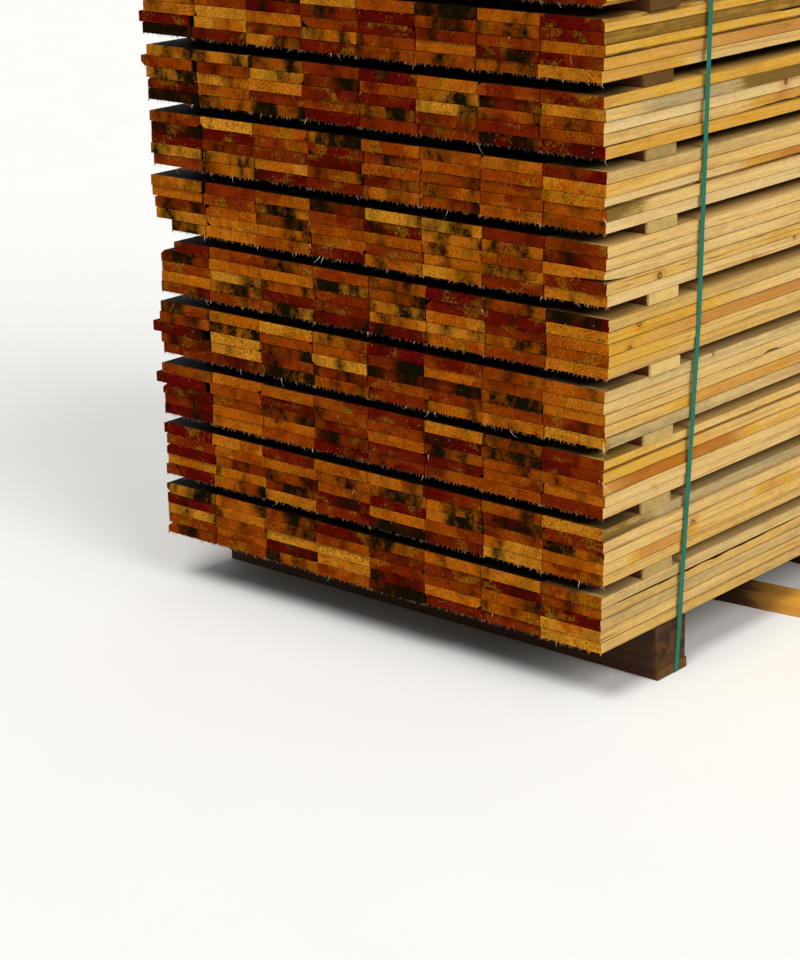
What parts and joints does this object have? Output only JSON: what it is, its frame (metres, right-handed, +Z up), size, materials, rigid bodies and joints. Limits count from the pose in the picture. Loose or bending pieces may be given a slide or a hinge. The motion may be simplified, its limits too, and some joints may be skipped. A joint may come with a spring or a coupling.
{
  "type": "stack of lumber",
  "caption": "Strapped stack of sawn boards in stickered tiers, standing on timber bearers with room for forks.",
  "frame": {"origin": "centre of the stack's footprint on the ground, on the middle bearer's lower face", "axes": "+X along the boards from the front end to the rear end, +Y across the stack from the near side to the far side, +Z up"},
  "size_m": [1.206, 1.2393, 1.4302],
  "materials": {
    "board_wood": "sawn",
    "sticker_wood": "sawn",
    "bearer_wood": "rough sawn",
    "strap_plastic": "embossed"
  },
  "bodies": {
    "root": {"tier_01_boards": "board_wood", "tier_02_boards": "board_wood", "tier_03_boards": "board_wood", "tier_04_boards": "board_wood", "tier_05_boards": "board_wood", "tier_06_boards": "board_wood", "tier_07_boards": "board_wood", "tier_08_boards": "board_wood", "tier_09_boards": "board_wood", "tier_10_boards": "board_wood", "stickers_01": "sticker_wood", "stickers_02": "sticker_wood", "stickers_03": "sticker_wood", "stickers_04": "sticker_wood", "stickers_05": "sticker_wood", "stickers_06": "sticker_wood", "stickers_07": "sticker_wood", "stickers_08": "sticker_wood", "stickers_09": "sticker_wood", "bearer_front_boards": "bearer_wood", "bearer_front_blocks": "bearer_wood", "bearer_middle_boards": "bearer_wood", "bearer_middle_blocks": "bearer_wood", "bearer_rear_boards": "bearer_wood", "bearer_rear_blocks": "bearer_wood", "strap_front": "strap_plastic", "strap_rear": "strap_plastic"}
  },
  "joints": []
}
